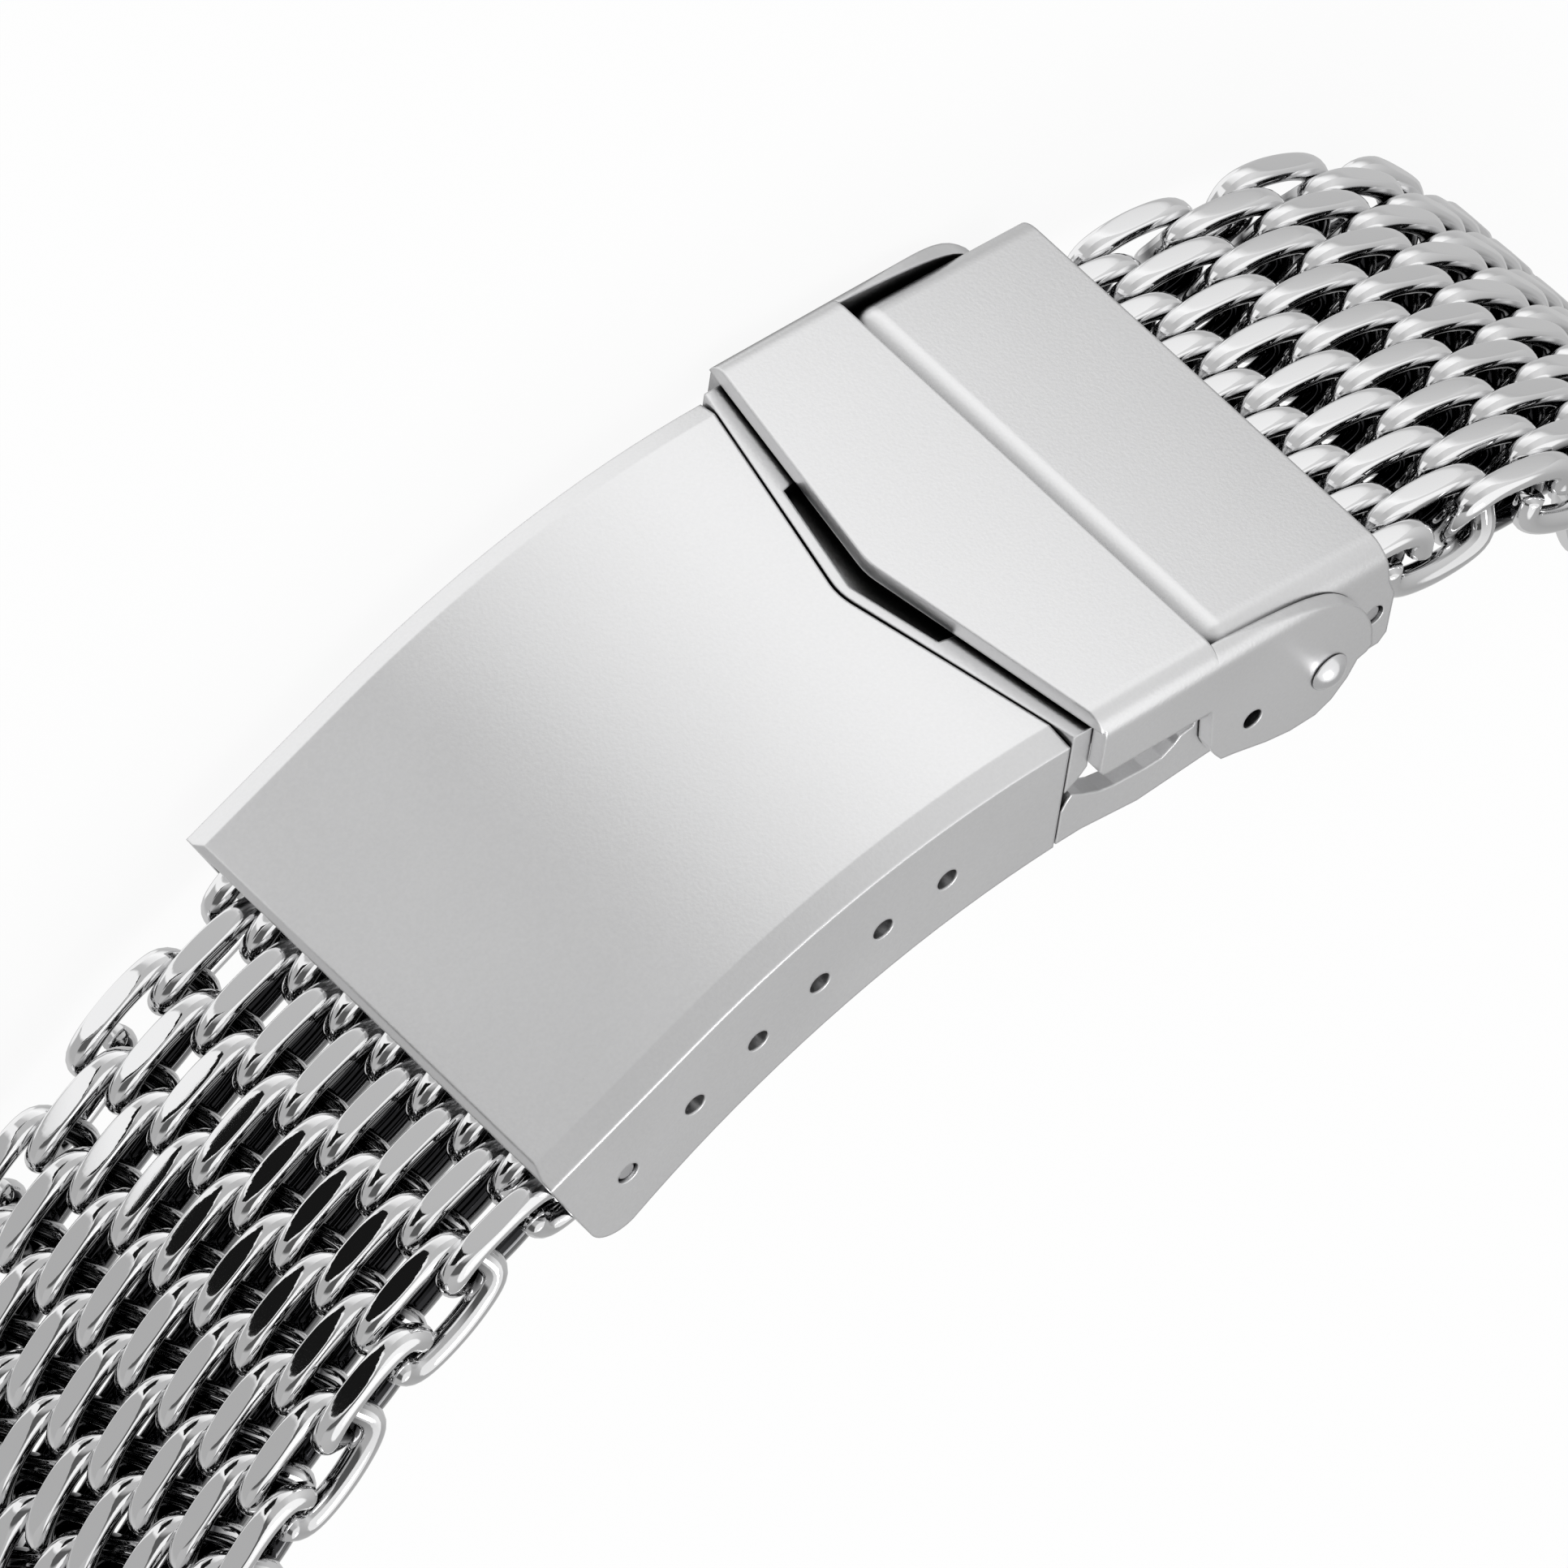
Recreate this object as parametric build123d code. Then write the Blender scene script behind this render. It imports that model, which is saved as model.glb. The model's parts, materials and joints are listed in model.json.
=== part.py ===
from build123d import *
import os
from math import atan2, cos, hypot, pi, radians, sin, tan

# Shark mesh bracelet with a folding clasp and a flip lock, closed in a loop and lying on its edge.
# The clasp is drawn in a side view: x runs from the cover's open end towards the hood, y points out of
# the wrist and z runs across the strap. The finished bracelet is turned half a turn about z.

# Sizes of the folding cover, in millimetres
COVER_WIDTH = 22.0
COVER_WALL = 0.9
COVER_PLATE = 1.0
COVER_FLAT = 8.0
COVER_RADIUS = 36.6
COVER_TURN = 30.5
COVER_OPEN_DEPTH = 7.16
COVER_SEAM_DEPTH = 6.36
COVER_CHAMFER_ACROSS = 1.05
COVER_CHAMFER_DEEP = 0.53
COVER_END_BEVEL = 0.3
COVER_CORNER_RADIUS = 1.6
COVER_FOOT_SHARE = 0.55
SEAM_POINT = 2.5
SEAM_ROUND = 3.0

# Row of adjusting holes in the cover's walls
HOLE_COUNT = 6
HOLE_DIAMETER = 1.0
HOLE_FIRST = 2.66
HOLE_PITCH = 3.67
HOLE_DEPTH_FIRST = 4.09
HOLE_DEPTH_LAST = 3.90

# Clearances
RUNNING = 0.05
SEAM_GAP = 0.12
BLADE_GAP = 0.15
OVERRUN = 2.0

# Lock housing: ledge, hood and side plates
LEDGE_PLATE = 1.0
HOOD_START = 7.15
HOOD_END = 16.8
HOOD_TOP_FRONT = 0.55
HOOD_TOP_END = 0.3
HOOD_PLATE = 1.0
HOOD_FRONT_RADIUS = 1.2
HOOD_EDGE_RADIUS = 1.15
HOOD_END_BEVEL = 0.3
HOOD_BAR_PLACE = 16.36
HOOD_BAR_DEPTH = 3.5
RECESS_DEPTH = 0.55
RECESS_LIP = 0.5
RECESS_FAR = 5.3
RECESS_NEAR = 4.2
RECESS_SLANT = 0.7
# Points of the housing's end and of its two lower edges, along the hood and above its base line
HOOD_END_SHARES = [(0.985, -0.01), (1.009, -0.30), (1.033, -0.44), (1.030, -0.79), (1.008, -0.86)]
HOOD_FOOT_SHARES = [(0.70, -0.90), (0.48, -0.96), (0.26, -1.022), (0.083, -0.975)]
WINDOW_SHARES = [(0.068, -0.16), (0.068, -0.37), (0.042, -0.45), (0.004, -0.52), (0.004, -0.70), (0.018, -0.62),
                 (0.032, -0.57), (0.073, -0.634), (0.129, -0.703), (0.176, -0.727), (0.269, -0.743),
                 (0.321, -0.736), (0.356, -0.671), (0.373, -0.623), (0.410, -0.600), (0.425, -0.400),
                 (0.440, -0.160)]

# Flip lock
FLIP_WIDTH = 23.5
FLIP_WALL = 0.7
FLIP_TOP = 1.0
FLIP_PLATE = 0.75
FLIP_END = 7.0
FLIP_POINT = 1.1
FLIP_CORNER = 0.95
FLIP_EDGE_RADIUS = 1.1
FLIP_PIVOT = (13.44, -4.18)
FLIP_HOLE = (9.44, -4.36)
FLIP_HOLE_DIAMETER = 0.95
EAR_REACH = 15.7
EAR_DEPTH = 6.6
# Points round the ear behind the top plate, as shares of its reach and depth
EAR_SHARES = [(0.447, 0.143), (0.500, 0.134), (0.560, 0.119), (0.620, 0.103), (0.680, 0.084), (0.730, 0.064),
              (0.770, 0.042), (0.805, 0.016), (0.840, -0.018), (0.870, -0.060), (0.900, -0.118),
              (0.930, -0.190), (0.955, -0.270), (0.975, -0.360), (0.990, -0.460), (1.0, -0.615),
              (0.984, -0.655), (0.955, -0.680), (0.930, -0.800), (0.885, -0.925), (0.834, -0.990),
              (0.750, -1.0), (0.669, -0.970), (0.560, -0.900), (0.510, -0.875), (0.482, -0.790),
              (0.463, -0.700), (0.448, -0.375), (0.440, -0.355), (0.100, -0.355), (0.083, -0.345),
              (0.070, -0.305)]

# Pins of the flip lock
FLIP_PIN_DIAMETER = 1.2
DOME_DIAMETER = 1.8
DOME_HEIGHT = 0.45

# Folding blades
BLADE_THICK = 1.0
BARREL_DIAMETER = 2.4
FOLD_PIN_DIAMETER = 1.0
FOLD_PIN_LENGTH = 16.0
TONGUE_WIDTH = 8.0
MID_PIVOT_ALONG = 19.0
MID_PIVOT_DEPTH = 2.75
END_PIVOT = (9.0, -4.7)
BLADE_TAB = (1.2, 6.4)
NOTCH_END = 13.9
# Points of the long blade between its barrel and its tab
LONG_BLADE_POINTS = [END_PIVOT, (13.5, -6.05), (19.0, -6.45), (24.0, -6.45)]

# Mesh: one row is one wound wire
WIRE = 1.15
COIL_PITCH = 2.5
COIL_TURNS = 8
COIL_THICK = 4.4
COIL_LENGTH = 6.6
COIL_SHOULDER = 0.8
COIL_HIP = 0.85
COIL_BEND = 0.9
GROUND = 0.16
ROW_PITCH = 3.9

# Tube and spring bar in each end row
TUBE_DIAMETER = 1.95
TUBE_BORE = 1.4
TUBE_PLACE = 1.12
BAR_DIAMETER = 1.3
BAR_BORE = 0.86
BAR_LENGTH = 17.2
BAR_LIP = 0.25
BAR_LIP_BORE = 0.62
PLUNGER_DIAMETER = 0.8
PLUNGER_LENGTH = 1.4
NECK_DIAMETER = 0.55
SHOULDER_DIAMETER = 1.25
SHOULDER_LENGTH = 0.3
TIP_DIAMETER = 0.9
TIP_LENGTH = 0.9
TIP_BEVEL = 0.1
TIP_SPAN = 21.8
SPRING_DIAMETER = 0.78
SPRING_BORE = 0.5
PLUNGER_PLAY = 0.02

# Slope of each row in degrees, first as worn next to the clasp, then turning evenly to the lug end
COVER_SIDE_SLOPES = [0.0, 1.0, 10.0, 16.5, 21.5, 27.0, 33.5, 41.0]
HOOD_SIDE_SLOPES = [-32.0, -35.0, -41.5, -52.0, -64.0, -77.0]
COVER_SIDE_ROWS = 16
HOOD_SIDE_ROWS = 14
COVER_SIDE_TURN = 11.0
HOOD_SIDE_TURN = 3.0

HALF_COVER = COVER_WIDTH / 2
HALF_INSIDE = HALF_COVER - COVER_WALL
HALF_FLIP = FLIP_WIDTH / 2
HALF_EAR_GAP = HALF_FLIP - FLIP_WALL
BEND = radians(COVER_TURN)
SEAM_PLACE = (COVER_FLAT + COVER_RADIUS * sin(BEND), -COVER_RADIUS * (1 - cos(BEND)))
HOOD_PLANE = Plane(origin=(SEAM_PLACE[0], SEAM_PLACE[1], 0), x_dir=(cos(BEND), -sin(BEND), 0), z_dir=(0, 0, 1))


def on_cover(along, depth):
    """Point at a distance along the cover's top from its open end and a depth below the top."""
    if along <= COVER_FLAT:
        return (along, -depth)
    turn = (along - COVER_FLAT) / COVER_RADIUS
    reach = COVER_RADIUS - depth
    return (COVER_FLAT + reach * sin(turn), reach * cos(turn) - COVER_RADIUS)


def on_hood(along, height):
    """Side-view point from a distance along the hood's base line and a height above it."""
    x = SEAM_PLACE[0] + along * cos(BEND) + height * sin(BEND)
    y = SEAM_PLACE[1] - along * sin(BEND) + height * cos(BEND)
    return (x, y)


def outline(points):
    """Face of a closed run of straight lines."""
    return make_face(Polyline(*points, close=True))


def across(face, width):
    """Face pulled across the strap, evenly to both sides."""
    return extrude(face, amount=width / 2, both=True)


def rod(place, diameter, low, high):
    """Round bar across the strap between two heights."""
    bar = Cylinder(diameter / 2, high - low, align=(Align.CENTER, Align.CENTER, Align.MIN))
    return Pos(place[0], place[1], low) * bar


def both_sides(place, diameter, low, high):
    """The same round bar on the near and on the far side."""
    return rod(place, diameter, low, high) + rod(place, diameter, -high, -low)


def share_points(shares, length, depth):
    """Outline points from shares of a length and a depth."""
    return [(length * a, depth * b) for a, b in shares]


def point_cut(point, corner, half_width, reach, round_radius):
    """Solid of all that lies before a blunt arrow head, seen from above the hood.

    The head's tip is at -point along the hood and its shoulders are at corner.
    """
    run = hypot(half_width, point + corner)
    lean = atan2(point + corner, half_width)
    tangent = round_radius * tan(lean)
    tip_in = tangent * sin(lean)
    tip_side = tangent * half_width / run
    tip_depth = round_radius * (1 / cos(lean) - 1)
    head = [
        Line((corner, -half_width), (tip_in - point, -tip_side)),
        ThreePointArc((tip_in - point, -tip_side), (tip_depth - point, 0), (tip_in - point, tip_side)),
        Line((tip_in - point, tip_side), (corner, half_width)),
    ]
    rest = Polyline((corner, half_width), (corner, half_width + OVERRUN), (-reach, half_width + OVERRUN),
                    (-reach, -half_width - OVERRUN), (corner, -half_width - OVERRUN), (corner, -half_width))
    face = make_face(head + list(rest.edges()))
    block = extrude(face, amount=COVER_OPEN_DEPTH + OVERRUN, both=True)
    return Rot(90, 0, 0) * block


def cover_outer():
    """Outside of the cover, with its bevelled long edges, run on past the seam."""
    start = (COVER_END_BEVEL, 0)
    flat_end = (COVER_FLAT, 0)
    middle = on_cover(COVER_FLAT + COVER_RADIUS * BEND / 2, 0)
    tail_top = on_hood(OVERRUN, 0)
    tail_foot = on_hood(OVERRUN, -COVER_SEAM_DEPTH)
    seam_foot = on_hood(0, -COVER_SEAM_DEPTH)
    foot_depth = (COVER_OPEN_DEPTH + COVER_SEAM_DEPTH) / 2
    foot_middle = on_cover((COVER_FLAT + COVER_RADIUS * BEND) * COVER_FOOT_SHARE, foot_depth)
    foot_start = (COVER_CORNER_RADIUS, -COVER_OPEN_DEPTH)
    side_start = (0, COVER_CORNER_RADIUS - COVER_OPEN_DEPTH)
    lean = COVER_CORNER_RADIUS * (1 - cos(pi / 4))
    edges = [
        Line(start, flat_end),
        ThreePointArc(flat_end, middle, SEAM_PLACE),
        Line(SEAM_PLACE, tail_top),
        Line(tail_top, tail_foot),
        Line(tail_foot, seam_foot),
        ThreePointArc(seam_foot, foot_middle, foot_start),
        ThreePointArc(foot_start, (lean, lean - COVER_OPEN_DEPTH), side_start),
        Line(side_start, (0, -COVER_END_BEVEL)),
        Line((0, -COVER_END_BEVEL), start),
    ]
    body = across(make_face(edges), COVER_WIDTH)
    for side in (-1, 1):
        wall = body.faces().sort_by(Axis.Z)[0 if side < 0 else -1]
        rim = [e for e in wall.edges() if is_top_edge(e)]
        body = chamfer(rim, length=COVER_CHAMFER_DEEP, length2=COVER_CHAMFER_ACROSS, reference=wall)
    return body


def is_top_edge(edge):
    """True for an edge that follows the cover's top line."""
    middle = edge @ 0.5
    turn = min(BEND, max(0, atan2(middle.X - COVER_FLAT, middle.Y + COVER_RADIUS)))
    if turn <= 0:
        depth = -middle.Y
    elif turn < BEND:
        depth = COVER_RADIUS - hypot(middle.X - COVER_FLAT, middle.Y + COVER_RADIUS)
    else:
        away = (middle.X - SEAM_PLACE[0]) * sin(BEND) + (middle.Y - SEAM_PLACE[1]) * cos(BEND)
        depth = -away
    return abs(depth) < COVER_END_BEVEL / 3


def cover_inside():
    """Space under the cover's plate, open at both ends and below."""
    start = (-OVERRUN, -COVER_PLATE)
    flat_end = (COVER_FLAT, -COVER_PLATE)
    middle = on_cover(COVER_FLAT + COVER_RADIUS * BEND / 2, COVER_PLATE)
    arc_end = on_hood(0, -COVER_PLATE)
    tail = on_hood(2 * OVERRUN, -COVER_PLATE)
    foot = on_hood(2 * OVERRUN, -COVER_OPEN_DEPTH - COVER_FLAT)
    corner = (-OVERRUN, foot[1])
    edges = [
        Line(start, flat_end),
        ThreePointArc(flat_end, middle, arc_end),
        Line(arc_end, tail),
        Line(tail, foot),
        Line(foot, corner),
        Line(corner, start),
    ]
    return across(make_face(edges), 2 * HALF_INSIDE)


def adjusting_holes():
    """Drills for the row of holes in both walls."""
    drills = []
    for index in range(HOLE_COUNT):
        share = index / max(1, HOLE_COUNT - 1)
        depth = HOLE_DEPTH_FIRST + (HOLE_DEPTH_LAST - HOLE_DEPTH_FIRST) * share
        place = on_cover(HOLE_FIRST + HOLE_PITCH * index, depth)
        drills.append(rod(place, HOLE_DIAMETER, -HALF_FLIP, HALF_FLIP))
    return drills


def mid_bosses():
    """Two lugs under the cover that hold the middle fold pin."""
    low = TONGUE_WIDTH / 2 + BLADE_GAP
    high = FOLD_PIN_LENGTH / 2
    place = on_cover(MID_PIVOT_ALONG, MID_PIVOT_DEPTH)
    left = on_cover(MID_PIVOT_ALONG - BARREL_DIAMETER / 2, COVER_PLATE / 2)
    right = on_cover(MID_PIVOT_ALONG + BARREL_DIAMETER / 2, COVER_PLATE / 2)
    across_vector = (right[0] - left[0], right[1] - left[1])
    size = hypot(*across_vector)
    step = (across_vector[0] / size * BARREL_DIAMETER / 2, across_vector[1] / size * BARREL_DIAMETER / 2)
    web_face = outline([left, right, (place[0] + step[0], place[1] + step[1]),
                        (place[0] - step[0], place[1] - step[1])])
    web = extrude(web_face, amount=high - low)
    webs = (Pos(0, 0, low) * web) + (Pos(0, 0, -high) * web)
    return webs + both_sides(place, BARREL_DIAMETER, low, high)


def cover_shell():
    """Folding cover: a bent channel with a V-shaped end, holes and pin lugs."""
    shell = cover_outer() - cover_inside()
    cut = point_cut(SEAM_POINT, 0, HALF_COVER, -4 * OVERRUN, SEAM_ROUND)
    shell = shell - HOOD_PLANE * cut
    shell = shell + mid_bosses()
    for drill in adjusting_holes():
        shell = shell - drill
    pin = on_cover(MID_PIVOT_ALONG, MID_PIVOT_DEPTH)
    return shell - rod(pin, FOLD_PIN_DIAMETER, -HALF_COVER + COVER_WALL, HALF_COVER - COVER_WALL)


def hood_top_at(along):
    """Height of the hood's top line above the base line."""
    first = HOOD_START + HOOD_FRONT_RADIUS
    share = (along - first) / (HOOD_END - first)
    return HOOD_TOP_FRONT + (HOOD_TOP_END - HOOD_TOP_FRONT) * share


def housing_outer():
    """Side view of the whole lock housing pulled across, with the hood's long edges rolled."""
    round_end = (HOOD_START + HOOD_FRONT_RADIUS, HOOD_TOP_FRONT)
    round_start = (HOOD_START, HOOD_TOP_FRONT - HOOD_FRONT_RADIUS)
    lean = HOOD_FRONT_RADIUS * (1 - cos(pi / 4))
    round_middle = (HOOD_START + lean, HOOD_TOP_FRONT - lean)
    end_points = share_points(HOOD_END_SHARES, HOOD_END, COVER_SEAM_DEPTH)
    foot_points = share_points(HOOD_FOOT_SHARES, HOOD_END, COVER_SEAM_DEPTH)
    chain = [(HOOD_END - HOOD_END_BEVEL, HOOD_TOP_END)] + end_points + foot_points
    chain = chain + [(-SEAM_POINT, -COVER_SEAM_DEPTH), (-SEAM_POINT, 0), (HOOD_START - RUNNING, 0),
                     (HOOD_START - RUNNING, round_start[1]), round_start]
    edges = [
        ThreePointArc(round_start, round_middle, round_end),
        Line(round_end, chain[0]),
    ]
    edges = edges + list(Polyline(*chain).edges())
    body = across(make_face(edges), COVER_WIDTH)
    rim = [e for e in body.edges() if is_hood_rim(e)]
    return fillet(rim, HOOD_EDGE_RADIUS)


def is_hood_rim(edge):
    """True for the two long edges of the hood's sloping top."""
    middle = edge @ 0.5
    on_wall = abs(abs(middle.Z) - HALF_COVER) < RUNNING
    level = abs(middle.Y - hood_top_at(middle.X)) < RUNNING
    return on_wall and level and middle.X > HOOD_START + HOOD_FRONT_RADIUS


def housing_inside():
    """Space inside the housing, open below and at the mesh end."""
    step = HOOD_START + HOOD_FRONT_RADIUS
    floor = -2 * COVER_SEAM_DEPTH
    end = HOOD_END + 2 * OVERRUN
    points = [(-2 * SEAM_POINT, floor), (-2 * SEAM_POINT, -LEDGE_PLATE), (step, -LEDGE_PLATE),
              (step, HOOD_TOP_FRONT - HOOD_PLATE), (end, hood_top_at(end) - HOOD_PLATE), (end, floor)]
    return across(outline(points), 2 * HALF_INSIDE)


def finger_recess():
    """Shallow pocket in the ledge before the flip lock's edge."""
    reach = FLIP_CORNER + OVERRUN
    lean = SEAM_POINT / HALF_COVER
    front = SEAM_GAP + RECESS_LIP - SEAM_POINT
    far = front + lean * RECESS_FAR
    near = front + lean * RECESS_NEAR
    points = [(front, 0), (far, -RECESS_FAR), (reach, -RECESS_FAR - RECESS_SLANT),
              (reach, RECESS_NEAR + RECESS_SLANT), (near, RECESS_NEAR)]
    face = outline(points)
    block = extrude(face, amount=RECESS_DEPTH + OVERRUN)
    return Pos(0, OVERRUN, 0) * (Rot(90, 0, 0) * block)


def housing_windows():
    """Window in each side plate above the rail."""
    points = share_points(WINDOW_SHARES, HOOD_END, COVER_SEAM_DEPTH)
    pane = extrude(outline(points), amount=COVER_WALL + 2 * RUNNING)
    low = HALF_INSIDE - RUNNING
    return (Pos(0, 0, low) * pane) + (Pos(0, 0, -HALF_COVER - RUNNING) * pane)


def lock_housing():
    """Ledge, hood and side plates in one piece."""
    body = housing_outer() - housing_inside()
    cut = point_cut(SEAM_POINT - SEAM_GAP, SEAM_GAP, HALF_COVER, 4 * OVERRUN, SEAM_ROUND)
    body = body - cut
    body = body - finger_recess()
    body = body - housing_windows()
    body = body - both_sides((HOOD_BAR_PLACE, -HOOD_BAR_DEPTH), HOLE_DIAMETER, HALF_INSIDE - RUNNING, HALF_FLIP)
    body = body - both_sides(FLIP_PIVOT, FLIP_PIN_DIAMETER, HALF_INSIDE - RUNNING, HALF_FLIP)
    body = body - both_sides(FLIP_HOLE, FLIP_HOLE_DIAMETER, HALF_INSIDE - RUNNING, HALF_FLIP)
    return HOOD_PLANE * body


def flip_lock():
    """Flip lock: a V-fronted plate with two long ears."""
    ear = share_points(EAR_SHARES, EAR_REACH, EAR_DEPTH)
    points = [(-FLIP_POINT - OVERRUN, FLIP_TOP), (FLIP_END, FLIP_TOP), (FLIP_END, FLIP_TOP - FLIP_PLATE)]
    points = points + ear + [(ear[-1][0], FLIP_TOP - FLIP_PLATE), (-FLIP_POINT - OVERRUN, FLIP_TOP - FLIP_PLATE)]
    body = across(outline(points), FLIP_WIDTH)
    rim = [e for e in body.edges() if is_flip_rim(e)]
    body = fillet(rim, FLIP_EDGE_RADIUS)
    room = Box(2 * EAR_REACH, 2 * EAR_DEPTH, 2 * HALF_EAR_GAP,
               align=(Align.CENTER, Align.MAX, Align.CENTER))
    body = body - Pos(0, FLIP_TOP - FLIP_PLATE, 0) * room
    behind = Box(EAR_REACH, 2 * EAR_DEPTH, 2 * HALF_EAR_GAP,
                 align=(Align.MIN, Align.CENTER, Align.CENTER))
    body = body - Pos(FLIP_END, 0, 0) * behind
    body = body - point_cut(FLIP_POINT, FLIP_CORNER, HALF_FLIP, 4 * OVERRUN, SEAM_ROUND)
    ear_low = HALF_EAR_GAP - RUNNING
    body = body - both_sides(FLIP_PIVOT, FLIP_PIN_DIAMETER + 2 * RUNNING, ear_low, HALF_FLIP + OVERRUN)
    body = body - both_sides(FLIP_HOLE, FLIP_HOLE_DIAMETER, ear_low, HALF_FLIP + OVERRUN)
    return HOOD_PLANE * body


def is_flip_rim(edge):
    """True for the two long edges of the flip lock's plate."""
    middle = edge @ 0.5
    return abs(abs(middle.Z) - HALF_FLIP) < RUNNING and abs(middle.Y - FLIP_TOP) < RUNNING


def flip_pins():
    """Two dome-headed pins that carry the flip lock."""
    base = HALF_FLIP + RUNNING
    ball = ((DOME_DIAMETER / 2) ** 2 + DOME_HEIGHT ** 2) / (2 * DOME_HEIGHT)
    profile_edges = [
        Line((0, HALF_INSIDE), (FLIP_PIN_DIAMETER / 2, HALF_INSIDE)),
        Line((FLIP_PIN_DIAMETER / 2, HALF_INSIDE), (FLIP_PIN_DIAMETER / 2, base)),
        Line((FLIP_PIN_DIAMETER / 2, base), (DOME_DIAMETER / 2, base)),
        RadiusArc((DOME_DIAMETER / 2, base), (0, base + DOME_HEIGHT), -ball),
        Line((0, base + DOME_HEIGHT), (0, HALF_INSIDE)),
    ]
    pin = revolve(Rot(90, 0, 0) * make_face(profile_edges), axis=Axis.Z)
    pair = Compound(children=[pin.solid(), (Rot(180, 0, 0) * pin).solid()])
    return HOOD_PLANE * (Pos(FLIP_PIVOT[0], FLIP_PIVOT[1], 0) * pair)


def band(points, thick):
    """Strip of even thickness along a run of points, with mitred corners."""
    upper = []
    lower = []
    for index, point in enumerate(points):
        before = points[max(0, index - 1)]
        after = points[min(len(points) - 1, index + 1)]
        first = direction(before, point) if index else direction(point, after)
        second = direction(point, after) if index < len(points) - 1 else first
        mid = (-(first[1] + second[1]), first[0] + second[0])
        size = hypot(*mid)
        mid = (mid[0] / size, mid[1] / size)
        stretch = thick / 2 / (mid[1] * second[0] - mid[0] * second[1])
        upper.append((point[0] + mid[0] * stretch, point[1] + mid[1] * stretch))
        lower.append((point[0] - mid[0] * stretch, point[1] - mid[1] * stretch))
    return outline(upper + lower[::-1])


def direction(start, end):
    """Direction from one side-view point to another, one unit long."""
    step = (end[0] - start[0], end[1] - start[1])
    size = hypot(*step)
    return (step[0] / size, step[1] / size)


def short_blade():
    """Narrow blade between the two fold pins."""
    middle = on_cover(MID_PIVOT_ALONG, MID_PIVOT_DEPTH)
    blade = across(band([END_PIVOT, middle], BLADE_THICK), TONGUE_WIDTH)
    for place in (END_PIVOT, middle):
        blade = blade + rod(place, BARREL_DIAMETER, -TONGUE_WIDTH / 2, TONGUE_WIDTH / 2)
    for place in (END_PIVOT, middle):
        blade = blade - rod(place, FOLD_PIN_DIAMETER + 2 * RUNNING, -TONGUE_WIDTH, TONGUE_WIDTH)
    return blade


def long_blade():
    """Wide blade from the end fold pin to the underside of the ledge."""
    tab_height = -LEDGE_PLATE - BLADE_THICK / 2
    route = LONG_BLADE_POINTS + [on_hood(BLADE_TAB[0], tab_height), on_hood(BLADE_TAB[1], tab_height)]
    blade = across(band(route, BLADE_THICK), FOLD_PIN_LENGTH)
    low = TONGUE_WIDTH / 2 + BLADE_GAP
    blade = blade - slot_room(low)
    blade = blade + both_sides(END_PIVOT, BARREL_DIAMETER, low, FOLD_PIN_LENGTH / 2)
    return blade - rod(END_PIVOT, FOLD_PIN_DIAMETER, -FOLD_PIN_LENGTH, FOLD_PIN_LENGTH)


def slot_room(half):
    """Room for the short blade's tongue in the long blade."""
    low = END_PIVOT[0] - BARREL_DIAMETER
    high = 2 * BARREL_DIAMETER + BLADE_THICK
    box = Box(NOTCH_END - low, high, 2 * half, align=(Align.MIN, Align.CENTER, Align.CENTER))
    return Pos(low, END_PIVOT[1], 0) * box


def fold_pin(place):
    """Plain pin across the strap."""
    return rod(place, FOLD_PIN_DIAMETER, -FOLD_PIN_LENGTH / 2, FOLD_PIN_LENGTH / 2)


def coil_points(tops_first):
    """Corner points of one row's wire. A row begins on its top or on its bottom side."""
    half_t = (COIL_THICK - WIRE) / 2
    reach = (COIL_LENGTH - WIRE) / 2
    shoulder = reach - COIL_SHOULDER
    first = -COIL_PITCH * (COIL_TURNS - 1 / 2) / 2
    sign = 1 if tops_first else -1
    points = [(sign * reach, first, 0), (sign * reach, first, sign * COIL_HIP)]
    for index in range(2 * COIL_TURNS):
        place = first + index * COIL_PITCH / 2
        # Runs go back along the strap on one face and up it on the other, stepping sideways in each bend
        face = sign if index % 2 == 0 else -sign
        points.append((face * shoulder, place, face * half_t))
        points.append((-face * shoulder, place, face * half_t))
        points.append((-face * reach, place, face * COIL_HIP))
        if index < 2 * COIL_TURNS - 1:
            points.append((-face * reach, place + COIL_PITCH / 2, -face * COIL_HIP))
        else:
            points.append((-face * reach, place, 0))
    return [Vector(*p) for p in points]


def rounded_path(points, radius):
    """Straight runs joined by tangent arcs of one radius."""
    edges = []
    last = points[0]
    for before, corner, after in zip(points, points[1:], points[2:]):
        come = (corner - before).normalized()
        leave = (after - corner).normalized()
        half = radians(come.get_angle(leave)) / 2
        cut = radius * tan(half)
        enter = corner - come * cut
        exit_point = corner + leave * cut
        inward = (leave - come).normalized()
        middle = corner + inward * (radius / cos(half) - radius)
        edges.append(Line(last, enter))
        edges.append(ThreePointArc(enter, middle, exit_point))
        last = exit_point
    edges.append(Line(last, points[-1]))
    return Wire([e.edge() for e in edges])


def mesh_coil(tops_first):
    """One row of mesh: a wound wire with ground flats on its upper and lower runs."""
    path = rounded_path(coil_points(tops_first), COIL_BEND)
    section = Plane(origin=path @ 0, z_dir=path % 0) * Circle(WIRE / 2)
    wire = sweep(section, path=path)
    keep = Box(2 * COIL_LENGTH, 2 * COIL_PITCH * COIL_TURNS, COIL_THICK - 2 * GROUND)
    return wire & keep


def slopes(first_slopes, count, turn):
    """Slope of every row of one half, the list first and then even turns."""
    given = first_slopes[:count]
    return given + [given[-1] + turn * (step + 1) for step in range(count - len(given))]


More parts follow.
